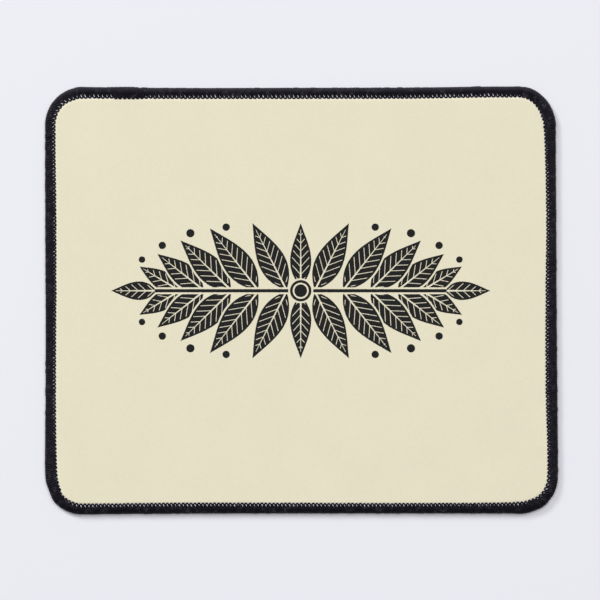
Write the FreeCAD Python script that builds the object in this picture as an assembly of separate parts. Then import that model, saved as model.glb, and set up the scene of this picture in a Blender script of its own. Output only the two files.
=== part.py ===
import FreeCAD, Part

import math
import os

from FreeCAD import Vector

# Mouse pad: a printed cloth on a sponge rubber base, its edge overlocked with thread all round.
# Millimetres, +Z up. The origin is the middle of the underside, +X runs to the right along the
# long side and +Y away from the user. Heights are above the surface that the pad lies on, and
# an inset is how far a place lies inside the outline, square to it.

# Outline, each corner turned by hand under the needle and so a little different
pad_width = 235.0
pad_depth = 197.0
near_left_radius = 15.1
near_right_radius = 16.1
far_right_radius = 18.1
far_left_radius = 17.2

# Layers
rubber_thickness = 3.5
cloth_thickness = 0.5

# Edge, a round roll of thread about the cut edge of the two layers
edge_height = 4.2
upper_edge_radius = 2.2
lower_edge_radius = 1.3
thread_thickness = 0.5
cover_width = 3.6
cut_edge_share = 0.4

# Thread loops at the needle line
needle_inset = 5.0
stitch_pitch = 1.83
stitch_sink = 0.35
loop_reach = 0.35
loop_thread = 0.55

# Cloth and rubber pressed down beside the loops
ledge_margin = 0.15
top_slope_width = 2.5
bottom_slope_width = 2.0

# Second run of thread, where the seam closes over its own start
overlap_start = 30.8
overlap_length = 15.2
overlap_thickness = 0.3
overlap_reach = 0.2
overlap_shoulder_angle = 30.0

# Levels and insets that several pieces share
pad_top = rubber_thickness + cloth_thickness
ledge_height = pad_top - stitch_sink
loop_top = ledge_height + thread_thickness
side_top = edge_height - upper_edge_radius
purl_height = (lower_edge_radius + side_top) / 2
cut_edge_top = side_top + upper_edge_radius * cut_edge_share
loop_tip = needle_inset + loop_reach
overlap_tip = loop_tip + overlap_reach
ledge_end = overlap_tip + ledge_margin
top_flat = ledge_end + top_slope_width
bottom_flat = ledge_end + bottom_slope_width


def outline_edges(inset, height):
    """The pad's outline moved in by inset: lines and corner arcs, from the middle of the near side."""
    right = pad_width / 2 - inset
    far = pad_depth / 2 - inset
    corners = [
        (right, -far, near_right_radius - inset, -90),
        (right, far, far_right_radius - inset, 0),
        (-right, far, far_left_radius - inset, 90),
        (-right, -far, near_left_radius - inset, 180),
    ]
    start = Vector(0, -far, height)
    here = start
    edges = []
    for x, y, radius, first_angle in corners:
        centre = Vector(x - math.copysign(radius, x), y - math.copysign(radius, y), height)
        turn = [
            centre + radius * Vector(math.cos(math.radians(angle)), math.sin(math.radians(angle)), 0)
            for angle in (first_angle, first_angle + 45, first_angle + 90)
        ]
        edges.append(Part.makeLine(here, turn[0]))
        edges.append(Part.Arc(*turn).toShape())
        here = turn[2]
    edges.append(Part.makeLine(here, start))
    return edges


def outline(inset, height):
    """The outline moved in by inset, as one closed wire."""
    return Part.Wire(outline_edges(inset, height))


def level_arc(level_end, other_end):
    """The middle of the arc that is level at level_end and ends at other_end, as (inset, height)."""
    across = other_end[0] - level_end[0]
    rise = other_end[1] - level_end[1]
    radius = (across**2 + rise**2) / (2 * abs(rise))
    half_turn = math.atan2(abs(across), radius - abs(rise)) / 2
    return (
        level_end[0] + math.copysign(radius * math.sin(half_turn), across),
        level_end[1] + math.copysign(radius * (1 - math.cos(half_turn)), rise),
    )


class Section:
    """A closed outline in (inset, height), drawn run by run with lines and arcs."""

    def __init__(self, inset, height):
        self.here = (inset, height)
        self.runs = []

    def add(self, *points):
        """One run from the last point: a line to one point, or an arc through two."""
        self.runs.append([self.here, *points])
        self.here = points[-1]

    def line(self, inset, height):
        self.add((inset, height))

    def arc_from_level(self, inset, height):
        """An arc that is level where it starts."""
        self.add(level_arc(self.here, (inset, height)), (inset, height))

    def arc_to_level(self, inset, height):
        """An arc that is level where it ends."""
        self.add(level_arc((inset, height), self.here), (inset, height))

    def slope(self, inset, height):
        """Two equal arcs, level at both ends."""
        self.arc_from_level((self.here[0] + inset) / 2, (self.here[1] + height) / 2)
        self.arc_to_level(inset, height)

    def round_corner(self, centre, inset, height):
        """A round corner about centre, in two arcs because they take fewer facets than one."""
        radius = math.dist(centre, self.here)
        first = math.atan2(self.here[1] - centre[1], self.here[0] - centre[0])
        last = math.atan2(height - centre[1], inset - centre[0])
        turn = math.remainder(last - first, math.tau)
        on_arc = [
            (
                centre[0] + radius * math.cos(first + share * turn),
                centre[1] + radius * math.sin(first + share * turn),
            )
            for share in (0.25, 0.5, 0.75)
        ]
        self.add(on_arc[0], on_arc[1])
        self.add(on_arc[2], (inset, height))

    def wire(self, place):
        """The closed outline as a wire, each (inset, height) put in space by place."""
        if self.here != self.runs[0][0]:
            self.line(*self.runs[0][0])
        edges = []
        for run in self.runs:
            points = [place(*point) for point in run]
            edges.append(Part.makeLine(*points) if len(points) == 2 else Part.Arc(*points).toShape())
        return Part.Wire(edges)

    def round_the_edge(self):
        """The section swept once round the outline, from the middle of the near side."""
        section = self.wire(lambda inset, height: Vector(0, inset - pad_depth / 2, height))
        return outline(0, 0).makePipeShell([section], True, True)


def plate(inset, bottom, top):
    """The middle of a layer: what the outline moved in by inset encloses, from bottom to top."""
    return Part.Face(outline(inset, bottom)).extrude(Vector(0, 0, top - bottom))


def cloth_top():
    """The printed cloth, flat in the middle and drawn down to its cut edge by the stitches."""
    rim = Section(thread_thickness, cut_edge_top)
    rim.line(cover_width, ledge_height)
    rim.line(ledge_end, ledge_height)
    rim.slope(top_flat, pad_top)
    rim.line(top_flat, rubber_thickness)
    rim.slope(ledge_end, ledge_height - cloth_thickness)
    rim.line(cover_width, ledge_height - cloth_thickness)
    rim.line(thread_thickness, cut_edge_top - cloth_thickness)
    return rim.round_the_edge().fuse(plate(top_flat, rubber_thickness, pad_top)).removeSplitter()


def rubber_base():
    """The sponge rubber sheet, squeezed between the threads above and below it."""
    rim = Section(thread_thickness, cut_edge_top - cloth_thickness)
    rim.line(cover_width, ledge_height - cloth_thickness)
    rim.line(ledge_end, ledge_height - cloth_thickness)
    rim.slope(top_flat, rubber_thickness)
    rim.line(top_flat, 0)
    rim.line(bottom_flat, 0)
    rim.line(ledge_end, thread_thickness)
    rim.line(lower_edge_radius, thread_thickness)
    rim.line(thread_thickness, lower_edge_radius)
    return rim.round_the_edge().fuse(plate(top_flat, 0, rubber_thickness)).removeSplitter()


def upper_thread_cover():
    """The upper looper thread, strand beside strand over the edge, from the loops to the side."""
    cover = Section(0, purl_height)
    cover.line(0, side_top)
    cover.round_corner((upper_edge_radius, side_top), upper_edge_radius, edge_height)
    cover.arc_from_level(cover_width, loop_top)
    cover.line(cover_width, ledge_height)
    cover.line(thread_thickness, cut_edge_top)
    cover.line(thread_thickness, purl_height)
    return cover.round_the_edge()


def lower_thread_cover():
    """The lower looper thread, which meets the upper one at the side and runs in under the edge."""
    cover = Section(0, purl_height)
    cover.line(0, lower_edge_radius)
    cover.round_corner((lower_edge_radius, lower_edge_radius), lower_edge_radius, 0)
    cover.line(loop_tip, 0)
    cover.line(loop_tip, thread_thickness)
    cover.line(lower_edge_radius, thread_thickness)
    cover.line(thread_thickness, lower_edge_radius)
    cover.line(thread_thickness, purl_height)
    return cover.round_the_edge()


class NeedleLine:
    """The closed line of needle holes, and places measured along it and square to it."""

    def __init__(self):
        self.edges = outline_edges(needle_inset, 0)
        self.length = sum(edge.Length for edge in self.edges)
        self.stitches = round(self.length / stitch_pitch)
        self.pitch = self.length / self.stitches

    def place(self, along, inset, height):
        """The point at a length along the line, and as far inside the outline as inset says."""
        along %= self.length
        for edge in self.edges:
            if along <= edge.Length:
                break
            along -= edge.Length
        parameter = edge.getParameterByLength(min(along, edge.Length))
        forward = edge.tangentAt(parameter)
        inward = Vector(-forward.y, forward.x, 0)
        return edge.valueAt(parameter) + (inset - needle_inset) * inward + Vector(0, 0, height)


def loop_row():
    """The loops of the upper thread on the cloth, a closed head and two legs at every stitch.

    The loops hang together at the needle holes, and the cloth shows between the legs of each.
    """
    line = NeedleLine()
    heads = []
    legs = []
    for stitch in range(line.stitches):
        hole = stitch * line.pitch
        middle = hole + line.pitch / 2
        heads.append(line.place(hole, needle_inset - loop_reach, ledge_height))
        heads.append(line.place(middle, loop_tip, ledge_height))
        legs.append(line.place(hole, cover_width, ledge_height))
        legs.append(line.place(middle, loop_tip - loop_thread, ledge_height))
    wires = [Part.makePolygon(points + points[:1]) for points in (legs, heads)]
    return Part.Face(wires, "Part::FaceMakerBullseye").extrude(Vector(0, 0, thread_thickness))


def seam_overlap():
    """The last stitches of the seam, sewn over its first ones on the far side near the left corner."""
    shoulder_angle = math.radians(overlap_shoulder_angle)
    shoulder = (
        upper_edge_radius * (1 - math.cos(shoulder_angle)),
        side_top + upper_edge_radius * math.sin(shoulder_angle),
    )
    run = Section(*shoulder)
    run.arc_to_level(upper_edge_radius, edge_height + overlap_thickness)
    run.arc_from_level(cover_width, loop_top + overlap_thickness)
    run.line(overlap_tip, loop_top + overlap_thickness)
    run.line(overlap_tip, ledge_height)
    run.line(loop_tip, ledge_height)
    run.line(loop_tip, loop_top)
    run.line(cover_width, loop_top)
    run.arc_to_level(upper_edge_radius, edge_height)
    run.round_corner((upper_edge_radius, side_top), *shoulder)
    start = overlap_start - pad_width / 2
    section = run.wire(lambda inset, height: Vector(start, pad_depth / 2 - inset, height))
    return Part.Face(section).extrude(Vector(overlap_length, 0, 0))


nodes = {
    "rubber_base": rubber_base,
    "cloth_top": cloth_top,
    "upper_thread_cover": upper_thread_cover,
    "lower_thread_cover": lower_thread_cover,
    "loop_row": loop_row,
    "seam_overlap": seam_overlap,
}

os.makedirs("parts", exist_ok=True)
for name, make in nodes.items():
    shape = make()
    print(name, len(shape.Solids), "solid,", round(shape.Volume), "cubic millimetres")
    shape.exportStep(f"parts/{name}.step")
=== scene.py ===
import bisect
import math
import random
from collections import Counter, namedtuple
from functools import cached_property, partialmethod

import bmesh
import bpy
from bpy.props import FloatProperty, FloatVectorProperty, PointerProperty
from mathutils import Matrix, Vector


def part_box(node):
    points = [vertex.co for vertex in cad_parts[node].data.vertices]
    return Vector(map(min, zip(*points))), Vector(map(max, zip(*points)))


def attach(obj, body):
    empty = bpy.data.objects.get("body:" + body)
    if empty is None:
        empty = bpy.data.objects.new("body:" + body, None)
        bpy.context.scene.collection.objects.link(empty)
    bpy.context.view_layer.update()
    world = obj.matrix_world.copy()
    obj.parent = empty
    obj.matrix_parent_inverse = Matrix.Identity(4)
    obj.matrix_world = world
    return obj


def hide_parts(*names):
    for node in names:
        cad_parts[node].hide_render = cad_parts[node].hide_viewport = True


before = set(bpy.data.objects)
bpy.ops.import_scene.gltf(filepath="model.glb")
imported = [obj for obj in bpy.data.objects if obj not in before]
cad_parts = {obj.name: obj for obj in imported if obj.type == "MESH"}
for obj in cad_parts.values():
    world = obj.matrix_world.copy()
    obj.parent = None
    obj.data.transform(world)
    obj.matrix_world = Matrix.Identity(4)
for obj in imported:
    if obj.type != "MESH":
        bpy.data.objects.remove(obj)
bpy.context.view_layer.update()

bl_info = {
    "name": "Mouse Pad with a Stitched Edge",
    "version": (1, 0, 0),
    "blender": (4, 5, 0),
    "location": "3D View > Sidebar > Mouse Pad",
    "description": "Builds the cloth, the rubber and the overlocked edge of a mouse pad round its frame",
    "category": "Mesh",
}

MM = 0.001
UP = Vector((0, 0, 1))

# What the frame gives. An inset is how far a place lies inside the outline, square to it.
COVER_LOW, COVER_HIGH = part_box("upper_thread_cover")
LOOPS_LOW, LOOPS_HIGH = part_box("loop_row")
CLOTH_LOW, CLOTH_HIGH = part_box("cloth_top")
OVERLAP_LOW, OVERLAP_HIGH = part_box("seam_overlap")
HALF_WIDTH, HALF_DEPTH = COVER_HIGH.x, COVER_HIGH.y
PAD_TOP = CLOTH_HIGH.z
EDGE_TOP = COVER_HIGH.z
PURL_HEIGHT = COVER_LOW.z
LEDGE = LOOPS_LOW.z
LOOP_TOP = LOOPS_HIGH.z
COVER_WIDTH = HALF_WIDTH - LOOPS_HIGH.x
CLOTH_RIM = HALF_WIDTH - CLOTH_HIGH.x
CLOTH_THICKNESS = PAD_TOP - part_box("rubber_base")[1].z
RIM_HEIGHT = CLOTH_LOW.z + CLOTH_THICKNESS
OVERLAP_LENGTH = OVERLAP_HIGH.x - OVERLAP_LOW.x
OVERLAP_LIFT = OVERLAP_HIGH.z - EDGE_TOP
OVERLAP_TIP = HALF_DEPTH - OVERLAP_LOW.y

# How sharply the cloth bends up beside the stitches
SLOPE_POWER = 6

# The corners of a face between two rings, each as rings up and steps ahead from the first
FACE_CORNERS = ((0, 0), (0, 1), (1, 1), (1, 0))

# In a map for a bake, the share of a cell that stays free, and the size of the faces turned away
BAKE_MARGIN = 0.06
BACK_SHARE = 0.14

# The uneven edge, given at a few knots. Each table has a row for each side and corner in the
# sewing direction, from the far side on. Here is how far the outline stands out of its plain shape,
# in millimetres.
SWAY = [
    (-0.2, -0.2, -0.7, -0.8, -0.9, -0.5),
    (-0.4, -0.3, -0.2, -0.2),
    (-0.1, -0.1, -0.1, -0.3, -0.3, 0),
    (-0.1, -0.6, 0.2, -0.1),
    (-0.1, -0.2, -0.5, -0.6, -0.6, -0.6),
    (-0.4, -0.3, 0.1, 0.4),
    (0.7, 0.7, 0.4, 0.1, -0.1, -0.3),
    (-0.3, -0.3, -0.2, 0),
]

# How much wider the sewn edge is than its usual width, in millimetres
WIDENING = [
    (0, 0, 0.1, 0.1, 0, 0.3),
    (0.4, 0.4, -0.1, -0.3),
    (-0.3, -0.3, 0.1, -0.1, -0.3, 0.5),
    (0.8, 0.4, 0.3, 0),
    (0, -0.1, 0, -0.2, -0.3, 0),
    (0.6, 0.7, 0.4, 0),
    (0, -0.2, 0.4, 0.1, -0.5, 0.2),
    (0.7, 1.1, 0.7, 0.3),
]

# How open the loops are, 0 to 1
OPENNESS = [
    (0.3, 0.7, 0.6, 0.7, 0.6, 0.6),
    (0.7, 0.6, 0.8, 0.5),
    (0.7, 0.7, 0.5, 0.4, 0.6, 0),
    (0.2, 0.1, 0, 0.5),
    (1, 0.8, 0.9, 0.9, 0.8, 0.6),
    (0.7, 0, 0.4, 0.8),
    (0.6, 0.3, 0.5, 0.6, 0.7, 0.2),
    (0.1, 0, 0, 0),
]


def screen_colour(*levels):
    """The linear values that shaders take, of a colour as a screen shows it, 0 to 255 each."""
    shares = [level / 255 for level in levels]
    return [((s + 0.055) / 1.055) ** 2.4 if s > 0.04045 else s / 12.92 for s in shares]


def amount(name, description, default, **limits):
    """A number from zero on that the user may change."""
    return FloatProperty(name=name, description=description, default=default, min=0, **limits)


def length(name, description, default):
    """A length in metres that the user may change."""
    return amount(name, description, default, subtype="DISTANCE", unit="LENGTH")


def colour(name, description, *levels):
    """A colour that the user may change, given as a screen shows it."""
    return FloatVectorProperty(
        name=name, description=description, default=screen_colour(*levels), min=0, max=1, subtype="COLOR"
    )


class OutlineSettings(bpy.types.PropertyGroup):
    """The pad's outline, whose corners were turned by hand and so differ."""

    near_left: length("Near Left Corner", "Radius of the near left corner", 17.5 * MM)
    near_right: length("Near Right Corner", "Radius of the near right corner", 17 * MM)
    far_right: length("Far Right Corner", "Radius of the far right corner", 18.1 * MM)
    far_left: length("Far Left Corner", "Radius of the far left corner", 17.8 * MM)
    sway_depth: length("Sway Depth", "How far inside the outline its unevenness still shows", 14 * MM)


class StitchSettings(bpy.types.PropertyGroup):
    """The overlock stitches along the edge."""

    needle_inset: length("Needle Line", "Distance of the needle holes from the outline", 5 * MM)
    loop_reach: length("Loop Reach", "How far the loops reach in past the needle line", 0.35 * MM)
    pitch_near: length("Near Side Pitch", "Length of a stitch on the near side", 1.8 * MM)
    pitch_right: length("Right Side Pitch", "Length of a stitch on the right side", 1.745 * MM)
    pitch_far: length("Far Side Pitch", "Length of a stitch on the far side", 2 * MM)
    pitch_left: length("Left Side Pitch", "Length of a stitch on the left side", 1.74 * MM)
    pitch_corner: length("Corner Pitch", "Length of a stitch at the needle line in a corner", 1.8 * MM)
    upper_radius: length("Upper Edge Radius", "Radius of the roll of thread over the edge", 2.2 * MM)
    lower_radius: length("Lower Edge Radius", "Radius of the roll of thread under the edge", 1.3 * MM)
    lean: length("Lean", "How far a strand leans on along the seam on its way out", 0.75 * MM)
    gap_length: length("Gap Length", "Length over which the legs of an open loop close up", 1.65 * MM)
    gap_far: length("Far Side Gap Length", "The same on the far side and in its left corner", 2.5 * MM)
    gap_width: length("Gap Width", "Width of the gap inside an open loop", 0.56 * MM)
    head_depth: length("Head Depth", "How far the head of a loop bends out beyond its legs", 0.62 * MM)
    unevenness: amount("Unevenness", "How much the stitches differ from each other", 1, max=3)


class ThreadSettings(bpy.types.PropertyGroup):
    """The polyester sewing thread."""

    radius: length("Radius", "Half the thickness of the free thread", 0.34 * MM)
    head_radius: length("Head Radius", "Half the thickness in the head of a loop", 0.44 * MM)
    flat_radius: length("Flat Radius", "Half the thickness where it is pressed flat", 0.2 * MM)
    needle_radius: length("Needle Thread Radius", "Half the thickness of the needle thread", 0.17 * MM)
    colour: colour("Colour", "Colour of the thread", 11, 9, 18)
    fuzz: colour("Fuzz Colour", "Colour of the fine fibres that stand off the thread", 74, 71, 80)
    # Painted highlight: the thread is made lighter where it faces the far side, toward the lights behind
    # the pad
    far_highlight: colour("Faded Colour", "Colour where the thread faces away from the user", 60, 57, 65)
    sheen: amount("Sheen", "Strength of the light that its fine fibres catch", 0.06, max=1)


class ClothSettings(bpy.types.PropertyGroup):
    """The printed cloth."""

    colour: colour("Colour", "Colour of the cloth where it is printed plain", 234, 228, 202)
    ink: colour("Ink", "Colour of the printed ornament", 20, 20, 20)
    bare: colour("Unprinted Colour", "Colour of the cloth past the end of the print", 236, 235, 240)
    print_end: length("End of the Print", "How far inside the outline the print ends", 5.2 * MM)
    weave: length("Weave", "Distance between the ribs of the knit", 0.42 * MM)
    slope_width: length("Slope Width", "Width of the slope that rises from the stitches", 2.5 * MM)
    pucker: length("Pucker", "How far each stitch draws the cloth down beside it", 0.09 * MM)
    print_shift: length("Print Shift", "How far the print's middle lies behind the pad's", 4.4 * MM)


class RubberSettings(bpy.types.PropertyGroup):
    """The sponge rubber base."""

    colour: colour("Colour", "Colour of the rubber", 34, 34, 35)
    waffle_pitch: length("Waffle Pitch", "Distance between the dimples of the underside", 2.2 * MM)
    waffle_depth: length("Waffle Depth", "Depth of the dimples of the underside", 0.18 * MM)


class StageSettings(bpy.types.PropertyGroup):
    """The floor, the light and the camera."""

    floor: colour("Floor", "Colour of the floor", 239, 239, 246)
    frame_width: length("Frame Width", "Width of the floor that the camera sees", 275.8 * MM)
    camera_height: length("Camera Height", "Height of the camera above the floor", 2.0)
    key_power: amount("Key Power", "Power of the wide light overhead", 285, unit="POWER")
    key_size: length("Key Size", "Width of the wide light overhead", 5)
    side_power: amount("Side Power", "Power of the small light behind on the left", 140, unit="POWER")
    side_size: length("Side Size", "Width of the small light behind on the left", 1.7)
    fill: amount("Fill", "Strength of the even light from all sides", 0.12, max=5)


def clip(share):
    """0 up to 0 and 1 from 1 on, with a straight rise between."""
    return min(max(share, 0), 1)


def smooth_step(share):
    """0 up to 0 and 1 from 1 on, with a smooth rise between."""
    share = clip(share)
    return share * share * (3 - 2 * share)


def blend(share, first, second):
    """First where share is 0, second where it is 1."""
    return first + (second - first) * share


def on_arc(across, up, radius, angle):
    """The place at an angle on an arc about (across, up): 0 is straight out, 90 straight up."""
    turn = math.radians(angle)
    return across - radius * math.cos(turn), up + radius * math.sin(turn)


def pairs_round(things):
    """Each of the things with the one after it, and the last with the first."""
    return list(zip(things, things[1:] + things[:1]))


class Course:
    """A value that changes smoothly all round a closed line and keeps between its knots."""

    def __init__(self, places, values, total):
        self.places = places
        self.values = values
        self.runs = [(after - before) % total for before, after in pairs_round(places)]
        rises = [after - before for before, after in pairs_round(values)]
        slopes = [rise / run for rise, run in zip(rises, self.runs)]
        self.slopes = [
            self.knot_slope(self.runs[knot - 1], run, slopes[knot - 1], slopes[knot])
            for knot, run in enumerate(self.runs)
        ]

    def knot_slope(self, run_before, run_after, slope_before, slope_after):
        """The slope in a knot, level where the value turns round."""
        if slope_before * slope_after <= 0:
            return 0
        before, after = run_before + 2 * run_after, 2 * run_before + run_after
        return (before + after) / (before / slope_before + after / slope_after)

    def at(self, place):
        """The value at a place on the line."""
        knot = bisect.bisect_right(self.places, place) - 1
        after = (knot + 1) % len(self.places)
        run = self.runs[knot]
        share = (place - self.places[knot]) / run
        bend = (1 - share) * self.slopes[knot] - share * self.slopes[after]
        value = blend(smooth_step(share), self.values[knot], self.values[after])
        return value + share * (1 - share) * run * bend


class Side:
    """A straight stretch of the needle line."""

    end_step = 6 * MM

    def __init__(self, start, end, pitch):
        self.length = (end - start).length
        self.pitch = pitch
        self.start = start
        self.forward = (end - start).normalized()
        self.outward = Vector((self.forward.y, -self.forward.x, 0))

    def at(self, along):
        """The point on the needle line, and the direction out of the pad."""
        return self.start + along * self.forward, self.outward

    def growth(self, out):
        """The same for a straight line, whose neighbours are as long as it."""
        return 1

    def knots(self, count):
        """Where the uneven edge is given: at the start, close to both ends, and evenly between."""
        step = (self.length - 2 * self.end_step) / (count - 2)
        return [0.0] + [self.end_step + step * number for number in range(count - 1)]


class Corner:
    """A quarter turn of the needle line."""

    def __init__(self, centre, radius, first_angle, pitch):
        self.length = radius * math.pi / 2
        self.pitch = pitch
        self.centre = centre
        self.radius = radius
        self.first_angle = first_angle

    def at(self, along):
        """The point on the needle line, and the direction out of the pad."""
        angle = self.first_angle + along / self.radius
        outward = Vector((math.cos(angle), math.sin(angle), 0))
        return self.centre + self.radius * outward, outward

    def growth(self, out):
        """How much longer the line is that runs outside the needle line by out."""
        return (self.radius + out) / self.radius

    def knots(self, count):
        """Where the uneven edge is given: in even steps."""
        return [self.length * number / count for number in range(count)]


class Seam:
    """The closed needle line, sewn to the left from near the far left corner and on round the pad."""

    def __init__(self, scene):
        outline, stitch = scene.pad_outline, scene.pad_stitch
        self.inset = stitch.needle_inset
        self.tip = stitch.needle_inset + stitch.loop_reach
        self.sway_depth = outline.sway_depth
        pitches = (stitch.pitch_far, stitch.pitch_left, stitch.pitch_near, stitch.pitch_right)
        corners = []
        for turn, name in enumerate(("far_right", "far_left", "near_left", "near_right")):
            radius = getattr(outline, name)
            x = math.copysign(HALF_WIDTH - radius, 1 if "right" in name else -1)
            y = math.copysign(HALF_DEPTH - radius, 1 if "far" in name else -1)
            angle = turn * math.pi / 2
            corners.append(Corner(Vector((x, y, 0)), radius - self.inset, angle, stitch.pitch_corner))
        self.parts = []
        for pitch, (before, after) in zip(pitches, pairs_round(corners)):
            start = before.at(before.length)[0]
            self.parts += [Side(start, after.at(0)[0], pitch), after]
        self.length = sum(part.length for part in self.parts)
        self.spots = []
        knots = []
        begin = 0.0
        for part, row in zip(self.parts, SWAY):
            count = round(part.length / part.pitch)
            self.spots += [begin + part.length * step / count for step in range(count)]
            knots += [begin + place for place in part.knots(len(row))]
            begin += part.length
        self.sway, self.widening, self.open = (
            Course(knots, [value for row in table for value in row], self.length)
            for table in (SWAY, WIDENING, OPENNESS)
        )
        overlap = self.parts[0].start.x - OVERLAP_HIGH.x
        self.begin = min(self.spots, key=lambda spot: abs(spot - overlap))

    def spot(self, along):
        """The place on the needle line, from the far right corner's end on."""
        return (along + self.begin) % self.length

    def part_at(self, along):
        """The side or corner at a length along the seam, and the length along that part."""
        rest = self.spot(along)
        for part in self.parts:
            if rest <= part.length:
                break
            rest -= part.length
        return part, min(rest, part.length)

    def outward(self, along):
        """The direction out of the pad."""
        part, rest = self.part_at(along)
        return part.at(rest)[1]

    def openness(self, along):
        """How open the loops are sewn, from 0 to 1."""
        return self.open.at(self.spot(along))

    def is_far(self, along):
        """Whether a place is on the far side or in its left corner."""
        return self.part_at(along)[0] in self.parts[:2]

    def growth(self, along, inset):
        """How much longer the seam is at that inset than at the needle line."""
        return self.part_at(along)[0].growth(self.inset - inset)

    def place(self, along, inset, height):
        """The point at a length along the seam, and as far inside the outline as inset says."""
        part, rest = self.part_at(along)
        point, outward = part.at(rest)
        fade = 1 - smooth_step((inset - self.tip) / (self.sway_depth - self.tip))
        widening = self.widening.at(self.spot(along)) * min(inset / self.tip, 1)
        sway = (self.sway.at(self.spot(along)) - widening) * fade
        return point + (self.inset - inset + sway * MM) * outward + height * UP

    def holes(self, overrun=0.0):
        """Where the needle went in, as lengths along the seam, once round and on by overrun."""
        step = self.parts[0].pitch
        more = [self.length + step * number for number in range(int(overrun / step) + 1)]
        return sorted((spot - self.begin) % self.length for spot in self.spots) + more

    def rings(self, section, count):
        """A ring of count points all round the pad for each place of a section."""
        spots = [self.length * step / count for step in range(count)]
        return [[self.place(spot, inset, height) for spot in spots] for inset, height in section]


# One cross-section of a thread: its middle, the direction off the pad, half its width and half its
# thickness, and the number of its stitch
Station = namedtuple("Station", "point off half_width half_thickness stitch")


def rings_mesh(name, rings, close_first=False, close_last=False, close_round=False):
    """A surface through closed rings of equally many points.

    The first and the last ring are filled if asked, or joined to each other with close_round.
    """
    count = len(rings[0])
    total = len(rings) * count
    faces = [
        tuple((level + up) * count % total + (step + ahead) % count for up, ahead in FACE_CORNERS)
        for level in range(len(rings) if close_round else len(rings) - 1)
        for step in range(count)
    ]
    if close_first:
        faces.append(tuple(reversed(range(count))))
    if close_last:
        faces.append(tuple(range(total - count, total)))
    mesh = bpy.data.meshes.new(name)
    mesh.from_pydata([point for ring in rings for point in ring], [], faces)
    mesh.polygons.foreach_set("use_smooth", [True] * len(faces))
    mesh.update()
    return mesh


def set_map(mesh, name, places):
    """A UV map with one place for each corner of each face."""
    layer = mesh.uv_layers.new(name=name)
    layer.data.foreach_set("uv", [value for place in places for value in place])


def strand_mesh(name, stations, sides):
    """A closed thread through the stations, with a map for its fibres and one for a bake."""
    rings = []
    lengths = []
    last = len(stations) - 1
    turns = [math.tau * step / sides for step in range(sides)]
    for index, station in enumerate(stations):
        before, after = stations[max(index - 1, 0)], stations[min(index + 1, last)]
        forward = (after.point - before.point).normalized()
        across = forward.cross(station.off).normalized()
        off = across.cross(forward)
        rings.append(
            [
                station.point
                + math.cos(turn) * station.half_width * across
                - math.sin(turn) * station.half_thickness * off
                for turn in turns
            ]
        )
        lengths.append((lengths[-1] if lengths else 0) + (station.point - before.point).length)
    mesh = rings_mesh(name, rings, close_first=True, close_last=True)

    count_of = Counter(station.stitch for station in stations)
    first_of = {}
    for index, station in enumerate(stations):
        first_of.setdefault(station.stitch, index)
    cells = math.ceil(math.sqrt(len(first_of) + 1))
    fill = 1 - BAKE_MARGIN
    fibre, bake = [], []
    for index in range(last):
        stitch = stations[index].stitch
        row, column = divmod(stitch, cells)
        for step in range(sides):
            for up, ahead in FACE_CORNERS:
                at, around = index + up, step + ahead
                share = (at - first_of[stitch]) / count_of[stitch]
                fibre.append((lengths[at] / MM, around / sides))
                bake.append(((column + share * fill) / cells, (row + around / sides * fill) / cells))
    # Both ends of the thread share the last cell of the map
    for at, middle in ((0, 0.25), (last, 0.75)):
        for turn in turns:
            fibre.append((lengths[at] / MM, turn / math.tau))
            column = cells - 1 + middle + BAKE_MARGIN * math.cos(turn)
            row = cells - 1 + middle + BAKE_MARGIN * math.sin(turn)
            bake.append((column / cells, row / cells))
    set_map(mesh, "fibre", fibre)
    set_map(mesh, "OFBake", bake)
    return mesh


def add_plane_map(mesh, side):
    """A map for a bake: the faces on that side of the pad from above, the others small beside them."""
    places = []
    for face in mesh.polygons:
        shown = face.normal.z * side > 0
        for index in face.vertices:
            point = mesh.vertices[index].co
            across = (point.x + HALF_WIDTH) / (2 * HALF_WIDTH)
            back = (point.y + HALF_DEPTH) / (2 * HALF_WIDTH)
            beside = (across * BACK_SHARE, 1 - BACK_SHARE + back * BACK_SHARE)
            places.append((across, back) if shown else beside)
    set_map(mesh, "OFBake", places)


def cloth_height(scene, inset):
    """How high the face of the cloth lies, drawn down by the stitches and rising again beside them."""
    stitch = scene.pad_stitch
    if inset < COVER_WIDTH:
        return blend((inset - CLOTH_RIM) / (COVER_WIDTH - CLOTH_RIM), RIM_HEIGHT, LEDGE)
    share = clip((inset - stitch.needle_inset) / scene.pad_cloth.slope_width)
    return blend((1 - share) ** SLOPE_POWER, PAD_TOP, LEDGE)


def put(mesh, material, slot, *nodes):
    """A piece of the pad: its object and material, and the solids that it stands for. The slot is not used.
    """
    piece = bpy.data.objects.new(mesh.name, mesh)
    bpy.context.scene.collection.objects.link(piece)
    mesh.materials.append(material)
    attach(piece, "root")
    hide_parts(*nodes)
    return piece


class Shade:
    """A value in a material's nodes. Python's operators on it add Math nodes."""

    def __init__(self, nodes, socket):
        self.nodes = nodes
        self.socket = socket

    def math(self, operation, *others):
        inputs = dict(enumerate((self, *others)))
        return self.nodes.add("ShaderNodeMath", {"operation": operation}, inputs)

    def __rsub__(self, other):
        return self.nodes.add("ShaderNodeMath", {"operation": "SUBTRACT"}, {0: other, 1: self})

    __add__ = partialmethod(math, "ADD")
    __sub__ = partialmethod(math, "SUBTRACT")
    __mul__ = partialmethod(math, "MULTIPLY")
    __truediv__ = partialmethod(math, "DIVIDE")
    __mod__ = partialmethod(math, "FLOORED_MODULO")
    __gt__ = partialmethod(math, "GREATER_THAN")
    __lt__ = partialmethod(math, "LESS_THAN")
    __abs__ = partialmethod(math, "ABSOLUTE")
    sine = partialmethod(math, "SINE")
    root = partialmethod(math, "SQRT")
    least = partialmethod(math, "MINIMUM")
    most = partialmethod(math, "MAXIMUM")

    def clip(self):
        """0 where the value is lower, 1 where it is higher."""
        return self.most(0).least(1)


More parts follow.
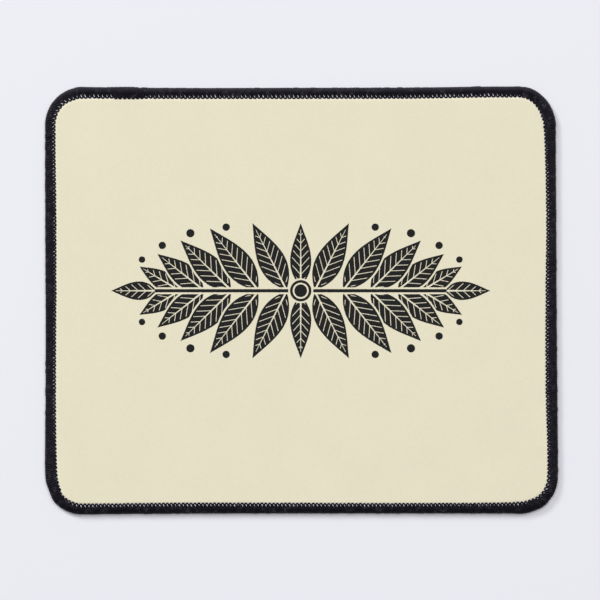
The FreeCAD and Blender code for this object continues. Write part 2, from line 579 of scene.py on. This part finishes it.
# A Mix node has a pair of sockets for each kind of data. These are the ones for colours.
MIX_FIRST, MIX_SECOND, MIX_RESULT = 6, 7, 2


class Nodes:
    """The nodes of one material, round its surface shader."""

    def __init__(self, name, constants):
        self.material = bpy.data.materials.new(name)
        self.material.use_nodes = True
        self.tree = self.material.node_tree
        self.shader = self.tree.nodes["Principled BSDF"]
        for socket, value in constants.items():
            self.shader.inputs[socket].default_value = value

    def add(self, kind, settings, inputs, output=0):
        """One output of a new node, whose settings are made before its sockets are set or linked."""
        node = self.tree.nodes.new(kind)
        for name, value in settings.items():
            setattr(node, name, value)
        for socket, value in inputs.items():
            if isinstance(value, Shade):
                self.tree.links.new(value.socket, node.inputs[socket])
            else:
                node.inputs[socket].default_value = value
        return Shade(self, node.outputs[output])

    @cached_property
    def place(self):
        """Where a point lies in the pad's frame, in metres."""
        return self.add("ShaderNodeTexCoord", {}, {}, "Object")

    def split(self, vector):
        """The three parts of a vector."""
        outputs = self.add("ShaderNodeSeparateXYZ", {}, {0: vector}).socket.node.outputs
        return [Shade(self, socket) for socket in outputs]

    def noise(self, scale, detail=2.0, roughness=0.5):
        """Cloudy noise about zero."""
        inputs = {"Vector": self.place, "Scale": scale, "Detail": detail, "Roughness": roughness}
        return self.add("ShaderNodeTexNoise", {}, inputs) - 0.5

    def mix(self, factor, first, second):
        """Two colours mixed, all second where factor is 1."""
        first, second = (c if isinstance(c, Shade) else (*c, 1) for c in (first, second))
        inputs = {0: factor, MIX_FIRST: first, MIX_SECOND: second}
        return self.add("ShaderNodeMix", {"data_type": "RGBA"}, inputs, MIX_RESULT)

    def scale(self, colour, factor):
        """A colour made lighter or darker by a value."""
        return self.add("ShaderNodeVectorMath", {"operation": "SCALE"}, {0: colour, "Scale": factor})

    def drive(self, socket, value):
        """Feeds one socket of the surface shader."""
        self.tree.links.new(value.socket, self.shader.inputs[socket])

    def bump(self, height, distance):
        """Raises the surface by height times distance."""
        self.drive("Normal", self.add("ShaderNodeBump", {}, {"Height": height, "Distance": distance}))


# The printed ornament, in millimetres from its middle, drawn in one quarter and mirrored twice.
# A leaf is given by its foot, the angle that it points at, its length and its greatest width. Its
# rib and its veins begin and end at shares of its length.
LEAVES = [
    (65.5, 0, 0, 21.5, 11),
    (56, 0.3, 31, 21, 11),
    (44.5, 0.3, 38, 27, 13.5),
    (32, 0.3, 44.5, 32.5, 15.5),
    (19.5, 0.3, 52, 36, 16.5),
    (6.5, 0.3, 63, 34.5, 16),
    (0, 2, 90, 29, 12.5),
]
DOTS = [(72.8, 14.3, 1.5), (63.5, 20.8, 1.7), (50.6, 26.4, 1.9), (34.2, 29.2, 1.7)]
LEAF_MARGIN = 0.8
LEAF_TAPER = 1.6
LEAF_FULLNESS = 1.35
RIB_WIDTH = 0.75
RIB_TAPER = 1.15
RIB_END = 0.9
VEIN_WIDTH = 0.42
VEIN_SPACING = 3.6
VEIN_SLANT = 1.1
VEIN_MARGIN = 0.9
VEIN_START = 0.1
VEIN_END = 0.86
STEM_LENGTH = 67
STEM_WIDTH = 1.5
EYE_RADIUS = 4.9
EYE_RING = 3.3


def draw_leaf(ink, x, y, foot_x, foot_y, angle, leaf_length, leaf_width):
    """Ink with one more leaf: a bare margin, the blade, and its bare rib and side veins."""
    turn = math.radians(angle)
    from_x, from_y = x - foot_x, y - foot_y
    along = from_x * math.cos(turn) + from_y * math.sin(turn)
    across = abs(from_y * math.cos(turn) - from_x * math.sin(turn))
    share = (along / leaf_length).clip()
    blade = share * (1 - share) * (LEAF_TAPER - share) * (leaf_width * LEAF_FULLNESS) - across
    margin = (blade > -LEAF_MARGIN) * (along > -LEAF_MARGIN) * (along < leaf_length + LEAF_MARGIN)
    rib = (across < (RIB_TAPER - share) * (RIB_WIDTH / 2)) * (share < RIB_END)
    from_vein = abs((along - across * VEIN_SLANT) % VEIN_SPACING - VEIN_SPACING / 2)
    veins = (from_vein < VEIN_WIDTH / 2) * (blade > VEIN_MARGIN) * (share > VEIN_START) * (share < VEIN_END)
    return ink * (1 - margin) + (blade > 0) * (1 - rib.most(veins))


def draw_ornament(x, y):
    """1 where the ornament has ink and 0 elsewhere."""
    x, y = abs(x), abs(y)
    ink = x * 0
    for leaf in LEAVES:
        ink = draw_leaf(ink, x, y, *leaf)
    for dot_x, dot_y, radius in DOTS:
        from_x, from_y = x - dot_x, y - dot_y
        ink = ink.most((from_x * from_x + from_y * from_y).root() < radius)
    beside_stem = x < STEM_LENGTH
    stem_margin = (y < STEM_WIDTH / 2 + LEAF_MARGIN) * beside_stem
    ink = ink * (1 - stem_margin) + (y < STEM_WIDTH / 2) * beside_stem
    from_eye = (x * x + y * y).root()
    eye = (from_eye < EYE_RADIUS) * (abs(from_eye - EYE_RING) > RIB_WIDTH / 2)
    return ink * (1 - (from_eye < EYE_RADIUS + LEAF_MARGIN)) + eye


def cloth_material(scene):
    """Fine polyester knit, printed in one colour, a little uneven as cloth is, with painted light where the
    print ends by the stitches.
    """
    settings = scene.pad_cloth
    constants = {"Sheen Weight": 0.1, "Sheen Roughness": 0.6, "Specular IOR Level": 0.2}
    nodes = Nodes("printed_cloth", constants)
    x, y, _ = nodes.split(nodes.place)
    cloud = nodes.noise(scale=45, detail=3)
    grain = nodes.noise(scale=900, roughness=0.6)
    fray = nodes.noise(scale=2600, detail=1) * 0.25
    ink = draw_ornament(x / MM + fray, (y - settings.print_shift) / MM + fray)
    inset, _, _ = nodes.split(nodes.add("ShaderNodeUVMap", {"uv_map": "inset"}, {}))
    from_end = inset - settings.print_end / MM + fray
    # Painted light: a band about 1.2 mm wide just inside the end of the print, beside the stitches, is made
    # lighter to lift the shade there
    rim = (1.2 - from_end).clip()
    rim_painted_light_colour = [level * change for level, change in zip(settings.colour, (1.06, 1.06, 1.04))]
    ground = nodes.mix(from_end < 0, nodes.mix(rim, settings.colour, rim_painted_light_colour), settings.bare)
    print_colour = nodes.mix(ink, ground, settings.ink)
    nodes.drive("Base Color", nodes.scale(print_colour, cloud * 0.05 + grain * 0.08 + 1))
    nodes.drive("Roughness", 0.86 - ink * 0.1 + grain * 0.1)
    turn = math.tau / settings.weave
    nodes.bump((x * turn).sine() * (y * turn).sine() * 0.5 + grain, 0.03 * MM)
    return nodes.material


def thread_material(scene):
    """Spun polyester thread: twisted fibres that catch a soft light, fuzz, a little dust, and a painted
    highlight on the far side.
    """
    settings = scene.pad_thread
    constants = {"Sheen Weight": settings.sheen, "Sheen Roughness": 0.45, "Specular IOR Level": 0.07}
    nodes = Nodes("black_thread", constants)
    along, around, _ = nodes.split(nodes.add("ShaderNodeUVMap", {"uv_map": "fibre"}, {}))
    twist = ((along * 2.2 + around * 3) * math.tau).sine()
    fibres = ((along * 1.1 + around * 11) * math.tau).sine()
    dust = nodes.noise(scale=1400, roughness=0.6)
    shade = twist * 0.1 + fibres * 0.06 + dust * 0.7 + nodes.noise(scale=120) * 0.3 + 1
    # Painted highlight: where the thread's surface faces the far side, toward the lights, it takes the
    # lighter colour
    far_highlight_share = nodes.split(nodes.add("ShaderNodeTexCoord", {}, {}, "Normal"))[1]
    colour = nodes.mix(far_highlight_share.clip(), settings.colour, settings.far_highlight)
    fuzz = nodes.noise(scale=2600, detail=3, roughness=0.7) * 5 + nodes.noise(scale=420) * 4
    colour = nodes.mix((fuzz - 0.45).clip() * 0.9, colour, settings.fuzz)
    nodes.drive("Base Color", nodes.scale(colour, shade.most(0.2)))
    nodes.drive("Roughness", dust * 0.2 + 0.62)
    nodes.bump(twist * 0.6 + fibres * 0.4 + dust, 0.03 * MM)
    return nodes.material


def rubber_material(scene):
    """Sponge rubber, matt, with fine open cells."""
    nodes = Nodes("sponge_rubber", {"Specular IOR Level": 0.3})
    cells = nodes.add("ShaderNodeTexVoronoi", {}, {"Vector": nodes.place, "Scale": 2600})
    grain = nodes.noise(scale=1500, roughness=0.6)
    shade = nodes.noise(scale=60, detail=3) * 0.25 + grain * 0.35 + 1
    nodes.drive("Base Color", nodes.scale(scene.pad_rubber.colour, shade))
    nodes.drive("Roughness", grain * 0.2 + 0.8)
    nodes.bump(cells * 0.7 + grain, 0.05 * MM)
    return nodes.material


class PAD_OT_rubber_base(bpy.types.Operator):
    """Make the sponge rubber sheet, squeezed at its edge and dimpled underneath"""

    bl_idname = "pad.rubber_base"
    bl_label = "Rubber Base"

    rim_points = 1200
    slope_shares = (0, 0.14, 0.3, 0.5, 1)
    waffle_border = 16 * MM

    def execute(self, context):
        scene = context.scene
        seam = Seam(scene)
        rings = seam.rings(self.profile(scene, seam.tip), self.rim_points)
        mesh = rings_mesh("rubber_sheet", rings, close_last=True)
        self.add_waffle(mesh, scene.pad_rubber)
        add_plane_map(mesh, -1)
        piece = put(mesh, rubber_material(scene), "rubber", "rubber_base")
        return {"FINISHED"}

    def profile(self, scene, tip):
        """The section from under the pad round the edge to the top, as insets and heights."""
        stitch = scene.pad_stitch
        slope = scene.pad_cloth.slope_width
        over = [CLOTH_RIM, COVER_WIDTH]
        over += [stitch.needle_inset + slope * share for share in self.slope_shares]
        return [
            (tip + slope, 0),
            (tip + slope / 2, CLOTH_RIM / 2),
            (tip, CLOTH_RIM),
            (stitch.lower_radius, CLOTH_RIM),
            (CLOTH_RIM, stitch.lower_radius),
            *((inset, cloth_height(scene, inset) - CLOTH_THICKNESS) for inset in over),
        ]

    def add_waffle(self, mesh, settings):
        """Fills the underside, inside the first ring of mesh, with rows of shallow dimples."""
        step = settings.waffle_pitch / 2
        columns = 2 * int((HALF_WIDTH - self.waffle_border) / step)
        rows = 2 * int((HALF_DEPTH - self.waffle_border) / step)
        work = bmesh.new()
        work.from_mesh(mesh)
        work.verts.ensure_lookup_table()
        rim = work.verts[: self.rim_points]

        def corner(row, column):
            height = settings.waffle_depth * (row % 2) * (column % 2)
            return work.verts.new(((column - columns / 2) * step, (row - rows / 2) * step, height))

        grid = [[corner(row, column) for column in range(columns + 1)] for row in range(rows + 1)]
        for low, high in zip(grid, grid[1:]):
            for column in range(columns):
                work.faces.new((low[column], high[column], high[column + 1], low[column + 1]))
        border = grid[0] + [line[-1] for line in grid[1:-1]]
        border += grid[-1][::-1] + [line[0] for line in grid[-2:0:-1]]
        edges = [work.edges.get(pair) for ring in (rim, border) for pair in pairs_round(ring)]
        bmesh.ops.triangle_fill(work, edges=edges, use_beauty=True, normal=-UP)
        bmesh.ops.recalc_face_normals(work, faces=work.faces)
        work.to_mesh(mesh)
        work.free()


class PAD_OT_printed_cloth(bpy.types.Operator):
    """Make the cloth, which the stitches draw down along its rim, and print it"""

    bl_idname = "pad.printed_cloth"
    bl_label = "Printed Cloth"

    points_per_stitch = 6
    slope_shares = (0, 0.06, 0.14, 0.22, 0.3, 0.4, 0.5, 0.7, 1)
    flat_border = 4 * MM

    def execute(self, context):
        scene = context.scene
        stitch, slope = scene.pad_stitch, scene.pad_cloth.slope_width
        self.seam = Seam(scene)
        self.spots = []
        holes = self.seam.holes()
        for begin, end in zip(holes, holes[1:]):
            for step in range(self.points_per_stitch):
                self.spots.append(blend(step / self.points_per_stitch, begin, end))
        rising = [stitch.needle_inset + slope * share for share in self.slope_shares]
        under = [CLOTH_RIM, COVER_WIDTH, *rising[::2]]
        over = [CLOTH_RIM, COVER_WIDTH / 2, COVER_WIDTH, *rising, rising[-1] + self.flat_border]
        rings = [self.ring(scene, inset, CLOTH_THICKNESS, 0) for inset in reversed(under)]
        rings += [self.ring(scene, inset, 0, scene.pad_cloth.pucker) for inset in over]
        mesh = rings_mesh("printed_cloth", rings, close_first=True, close_last=True)
        insets = [*reversed(under), *over]
        corners = [index // len(self.spots) for face in mesh.polygons for index in face.vertices]
        set_map(mesh, "inset", [(insets[ring] / MM, 0) for ring in corners])
        add_plane_map(mesh, 1)
        piece = put(mesh, cloth_material(scene), "cloth", "cloth_top")
        return {"FINISHED"}

    def ring(self, scene, inset, depth, pucker):
        """The cloth at an inset, that deep under its face, and drawn down at each needle hole."""
        height = cloth_height(scene, inset) - depth
        near_holes = clip((inset - COVER_WIDTH) / scene.pad_cloth.slope_width)
        drawn = pucker * math.sin(math.pi * near_holes)
        points = []
        for index, spot in enumerate(self.spots):
            phase = math.tau * index / self.points_per_stitch
            points.append(self.seam.place(spot, inset, height - drawn * math.cos(phase)))
        return points


class PAD_OT_edge_threads(bpy.types.Operator):
    """Sew the edge with both looper threads and the needle thread, over the strands inside"""

    bl_idname = "pad.edge_threads"
    bl_label = "Edge Threads"

    thread_sides = 8
    thin_sides = 6
    filling_points = 760
    filling_rows = 16

    # Where a strand's stations lie: at angles round the roll and the loop, and shares of the way in
    upper_angles = (-10, 15, 40, 65, 90)
    upper_shares = (0.27, 0.48, 0.66, 0.84)
    upper_loop_angles = (0, 30, 60, 90, 120, 150, 180)
    lower_angles = (0, -30, -60, -90)
    lower_shares = (0.35, 0.75)
    lower_loop_angles = (0, 60, 120, 180)
    filling_angles = (115, 100, 80, 60, 40, 20, 0)
    filling_rise = 0.8

    # How wide a pressed strand is against its room, how much shorter the gap of a nearly closed loop
    # is, how narrow a loop's head is at its shoulders, and where the thread turns back at the side
    spread = 1.12
    gap_least = 0.6
    gap_growth = 0.3
    head_waist = 0.05
    turn_angle = -30
    turn_lean = 1.6
    turn_inset = 1.5
    needle_foot = 1.5

    # How the thread rises where the seam is sewn over its own start
    overlap_ramp = 11 * MM
    closing_ramp = 3 * MM
    ramp_start = 0.3

    # How far stitches differ by chance: how open the loops are, and where the threads lie, the more
    # so where the roll is lifted
    open_chance = 0.12
    reach_chance = 0.05 * MM
    shift_chance = 0.04 * MM
    roll_chance = 0.08 * MM
    lifted_chance = 0.2
    lower_chance = 0.1 * MM
    needle_chance = 0.06 * MM

    def execute(self, context):
        scene = context.scene
        self.stitch = scene.pad_stitch
        self.thread = scene.pad_thread
        self.seam = Seam(scene)
        self.overlap_reach = (OVERLAP_TIP - self.seam.tip) / OVERLAP_LIFT
        self.centre = EDGE_TOP - self.stitch.upper_radius
        black = thread_material(scene)
        self.chance = random.Random(7)

        holes = self.seam.holes(OVERLAP_LENGTH)
        upper, needle, lower = [], [], []
        for number, (begin, end) in enumerate(zip(holes, holes[1:])):
            upper += self.upper_stitch(number, begin, end)
            needle += self.needle_stitch(number, begin, end)
            if end <= self.seam.length:
                lower += self.lower_stitch(number, begin, end)
        mesh = strand_mesh("upper_looper_thread", upper, self.thread_sides)
        put(mesh, black, "thread", "upper_thread_cover", "loop_row", "seam_overlap")
        mesh = strand_mesh("lower_looper_thread", lower, self.thin_sides)
        put(mesh, black, "thread", "lower_thread_cover")
        put(strand_mesh("needle_thread", needle, self.thin_sides), black, "thread")
        put(self.filling_mesh(), black, "thread")
        return {"FINISHED"}

    def vary(self, deviation):
        """A difference by chance, usually within deviation."""
        return self.chance.gauss(0, deviation) * self.stitch.unevenness

    def station(self, number, along, inset, height, tilt, half_width, half_thickness):
        """A station of a stitch, whose direction off the pad is tilted up from level by tilt degrees."""
        angle = math.radians(tilt)
        off = math.cos(angle) * self.seam.outward(along) + math.sin(angle) * UP
        return Station(self.seam.place(along, inset, height), off, half_width, half_thickness, number)

    def round_spots(self, radius, centre, roll, angles):
        """Where a strand passes on its way round the edge: insets, heights and tilts."""
        return [(*on_arc(radius, centre, roll, angle), angle) for angle in angles]

    def overlap(self, along, ramp):
        """0 on the first run round the pad and 1 where the seam is sewn over its own start."""
        return smooth_step((along - self.seam.length) / ramp + self.ramp_start)

    def lift(self, along):
        """How much higher the thread lies where it rises onto the seam's start."""
        return OVERLAP_LIFT * self.overlap(along, self.overlap_ramp)

    def upper_stitch(self, number, begin, end):
        """One stitch of the upper looper thread: up over the roll, round its loop, and down again."""
        stitch, thread = self.stitch, self.thread
        pitch, middle = end - begin, (begin + end) / 2
        lift = self.lift(middle)
        openness = clip(self.seam.openness(middle) + self.vary(self.open_chance))
        openness *= 1 - self.overlap(middle, self.closing_ramp)
        gap = stitch.gap_far if self.seam.is_far(middle) else stitch.gap_length
        gap *= self.gap_least + openness * self.gap_growth
        gap_half = stitch.gap_width / 2 * openness
        reach = self.vary(self.reach_chance) + lift * self.overlap_reach
        shift = self.vary(self.shift_chance)
        swell = self.vary(self.roll_chance + self.lifted_chance * lift)
        loop_half = pitch / 4 - gap_half / 2
        loop_radius = gap_half + loop_half
        loop_thin = (LOOP_TOP - LEDGE) / 2
        loop_height = LEDGE + loop_thin + lift
        arch = self.seam.tip + reach - thread.head_radius - stitch.head_depth
        roll = stitch.upper_radius - thread.flat_radius + lift + swell

        def leg_station(side, inset, height, tilt):
            spread = smooth_step((arch - inset) / gap)
            out = clip((arch - inset) / (arch - stitch.upper_radius))
            along = middle + side * blend(spread, loop_radius, pitch / 4) + shift * (1 - out)
            along += stitch.lean * (out + (1 - math.sin(math.radians(tilt))) / 2)
            wide = pitch / 4 * self.seam.growth(along, inset) * self.spread
            half_width = blend(spread, loop_half, wide)
            half_thickness = blend(spread, loop_thin, thread.flat_radius)
            return self.station(number, along, inset, height, tilt, half_width, half_thickness)

        spots = self.round_spots(stitch.upper_radius, self.centre, roll, self.upper_angles)
        for share in self.upper_shares:
            height = blend(smooth_step(share), self.centre + roll, loop_height)
            spots.append((blend(share, stitch.upper_radius, arch), height, 90))
        loop = []
        for angle in self.upper_loop_angles:
            turn = math.radians(angle)
            waist = 1 - self.head_waist * math.sin(2 * turn) ** 2
            along = middle + shift - loop_radius * math.cos(turn) * waist
            inset = arch + stitch.head_depth * math.sin(turn)
            half = blend(math.sin(turn), loop_half, thread.head_radius) * waist
            loop.append(self.station(number, along, inset, loop_height, 90, half, loop_thin))
        low = on_arc(0, self.centre, roll, self.turn_angle)[1]
        turn_along = begin + stitch.lean * self.turn_lean
        purl_inset = thread.flat_radius - swell - lift
        purl = self.station(number, turn_along, purl_inset, low, 0, thread.radius, thread.flat_radius)
        before, after = ([leg_station(side, *spot) for spot in spots] for side in (-1, 1))
        return [purl, *before, *loop, *reversed(after)]

    def lower_stitch(self, number, begin, end):
        """One stitch of the lower looper thread: down round the lower edge, in, and back again."""
        stitch, thread = self.stitch, self.thread
        pitch, middle = end - begin, (begin + end) / 2
        roll = stitch.lower_radius - thread.flat_radius
        loop_radius = pitch / 2 - thread.radius
        reach = self.vary(self.lower_chance)
        arch = self.seam.tip + reach - thread.radius - loop_radius

        def leg_station(side, inset, height, tilt):
            along = middle + side * pitch / 4
            wide = pitch / 4 * self.seam.growth(along, inset) * self.spread
            return self.station(number, along, inset, height, tilt, wide, thread.flat_radius)

        spots = self.round_spots(stitch.lower_radius, stitch.lower_radius, roll, self.lower_angles)
        for share in self.lower_shares:
            spots.append((blend(share, stitch.lower_radius, arch), thread.flat_radius, -90))
        loop = []
        half_sizes = (thread.radius, thread.flat_radius)
        for angle in self.lower_loop_angles:
            along, inset = on_arc(middle, arch, loop_radius, angle)
            loop.append(self.station(number, along, inset, thread.flat_radius, -90, *half_sizes))
        purl_inset = thread.flat_radius * self.turn_inset
        purl = self.station(number, begin, purl_inset, PURL_HEIGHT + thread.radius, 0, *half_sizes)
        before, after = ([leg_station(side, *spot) for spot in spots] for side in (-1, 1))
        return [purl, *before, *loop, *reversed(after)]

    def needle_stitch(self, number, begin, end):
        """One stitch of the needle thread: over the two legs that meet at a hole, then down inside."""
        stitch, thread = self.stitch, self.thread
        radius = thread.needle_radius
        lift = self.lift(begin)
        inset = stitch.needle_inset - stitch.loop_reach - radius + lift * self.overlap_reach
        inset += self.vary(self.needle_chance)
        top = LOOP_TOP + lift
        foot = self.needle_foot * thread.radius
        spots = [
            (begin - foot, LEDGE),
            (begin - thread.radius, top - radius),
            (begin, top),
            (begin + thread.radius, top - radius),
            (begin + foot, LEDGE),
            ((begin + end) / 2, LEDGE - CLOTH_THICKNESS),
        ]
        return [self.station(number, along, inset, height, 90, radius, radius) for along, height in spots]

    def filling_mesh(self):
        """The strands that lie inside the edge, under the ones that show, as one closed ring."""
        stitch = self.stitch
        skin = self.thread.flat_radius * self.spread
        rolls = [
            (stitch.upper_radius, self.centre, self.filling_angles),
            (stitch.lower_radius, stitch.lower_radius, self.lower_angles),
        ]
        section = []
        for radius, centre, angles in rolls:
            section += [on_arc(radius, centre, radius - skin, angle) for angle in angles]
        section += [
            (stitch.needle_inset, skin),
            (stitch.needle_inset, CLOTH_RIM),
            (stitch.lower_radius, CLOTH_RIM),
            (CLOTH_RIM, stitch.lower_radius),
            (CLOTH_RIM, RIM_HEIGHT),
            (COVER_WIDTH - CLOTH_RIM, blend(self.filling_rise, RIM_HEIGHT, LEDGE)),
        ]
        count, rows = self.filling_points, self.filling_rows
        rings = self.seam.rings(reversed(section), count)
        mesh = rings_mesh("inner_strands", rings, close_round=True)
        fibre, bake = [], []
        for level in range(len(rings)):
            for step in range(count):
                row = rows * step // count
                for up, ahead in FACE_CORNERS:
                    share = (level + up) / len(rings)
                    along = step + ahead
                    fibre.append((along * self.seam.length / count / MM, share))
                    bake.append((rows * along / count - row, (row + share * (1 - BAKE_MARGIN)) / rows))
        set_map(mesh, "fibre", fibre)
        set_map(mesh, "OFBake", bake)
        return mesh


class PAD_OT_stage(bpy.types.Operator):
    """Make the floor, the light and the camera that looks straight down"""

    bl_idname = "pad.stage"
    bl_label = "Stage"

    floor_size = 6.0
    key_place = Vector((0.15, 1.4, 6))
    side_place = Vector((-3.3, 3.3, 3.8))
    aim = Vector((-0.32, 0.16, 0)) * MM

    def execute(self, context):
        scene = context.scene
        settings = scene.pad_stage
        half = self.floor_size / 2
        corners = [(-half, -half, 0), (half, -half, 0), (half, half, 0), (-half, half, 0)]
        mesh = bpy.data.meshes.new("floor")
        mesh.from_pydata(corners, [], [(0, 1, 2, 3)])
        constants = {"Base Color": (*settings.floor, 1), "Roughness": 0.9, "Specular IOR Level": 0.1}
        mesh.materials.append(Nodes("floor", constants).material)
        floor = bpy.data.objects.new("floor", mesh)

        lamps = [
            self.lamp("key", self.key_place, settings.key_power, settings.key_size),
            self.lamp("side", self.side_place, settings.side_power, settings.side_size),
        ]

        view = bpy.data.cameras.new("camera")
        view.lens = view.sensor_width * settings.camera_height / settings.frame_width
        camera = bpy.data.objects.new("camera", view)
        camera.location = self.aim + settings.camera_height * UP
        for thing in (floor, *lamps, camera):
            scene.collection.objects.link(thing)
        scene.camera = camera

        world = bpy.data.worlds.new("studio")
        world.use_nodes = True
        background = world.node_tree.nodes["Background"]
        background.inputs["Color"].default_value = (1, 1, 1, 1)
        background.inputs["Strength"].default_value = settings.fill
        scene.world = world
        scene.view_settings.view_transform = "Standard"
        return {"FINISHED"}

    def lamp(self, name, place, power, size):
        """A square soft light that faces the pad."""
        light = bpy.data.lights.new(name, "AREA")
        light.energy = power
        light.size = size
        lamp = bpy.data.objects.new(name, light)
        lamp.location = place
        lamp.rotation_euler = place.to_track_quat("Z", "Y").to_euler()
        return lamp


STEPS = [PAD_OT_rubber_base, PAD_OT_printed_cloth, PAD_OT_edge_threads, PAD_OT_stage]
SETTINGS = {
    "pad_outline": OutlineSettings,
    "pad_stitch": StitchSettings,
    "pad_thread": ThreadSettings,
    "pad_cloth": ClothSettings,
    "pad_rubber": RubberSettings,
    "pad_stage": StageSettings,
}


class PAD_PT_steps(bpy.types.Panel):
    """The settings of the mouse pad and the steps that build it"""

    bl_idname = "PAD_PT_steps"
    bl_label = "Mouse Pad"
    bl_space_type = "VIEW_3D"
    bl_region_type = "UI"
    bl_category = "Mouse Pad"

    def draw(self, context):
        for group, kind in SETTINGS.items():
            box = self.layout.box()
            for name in kind.__annotations__:
                box.prop(getattr(context.scene, group), name)
        for step in STEPS:
            self.layout.operator(step.bl_idname)


def register():
    for kind in (*SETTINGS.values(), *STEPS, PAD_PT_steps):
        bpy.utils.register_class(kind)
    for group, kind in SETTINGS.items():
        setattr(bpy.types.Scene, group, PointerProperty(type=kind))


def unregister():
    for group in SETTINGS:
        delattr(bpy.types.Scene, group)
    for kind in (PAD_PT_steps, *reversed(STEPS), *reversed(SETTINGS.values())):
        bpy.utils.unregister_class(kind)


def main():
    register()
    for step in STEPS:
        getattr(bpy.ops.pad, step.bl_idname.removeprefix("pad."))()


if __name__ == "__main__":
    main()
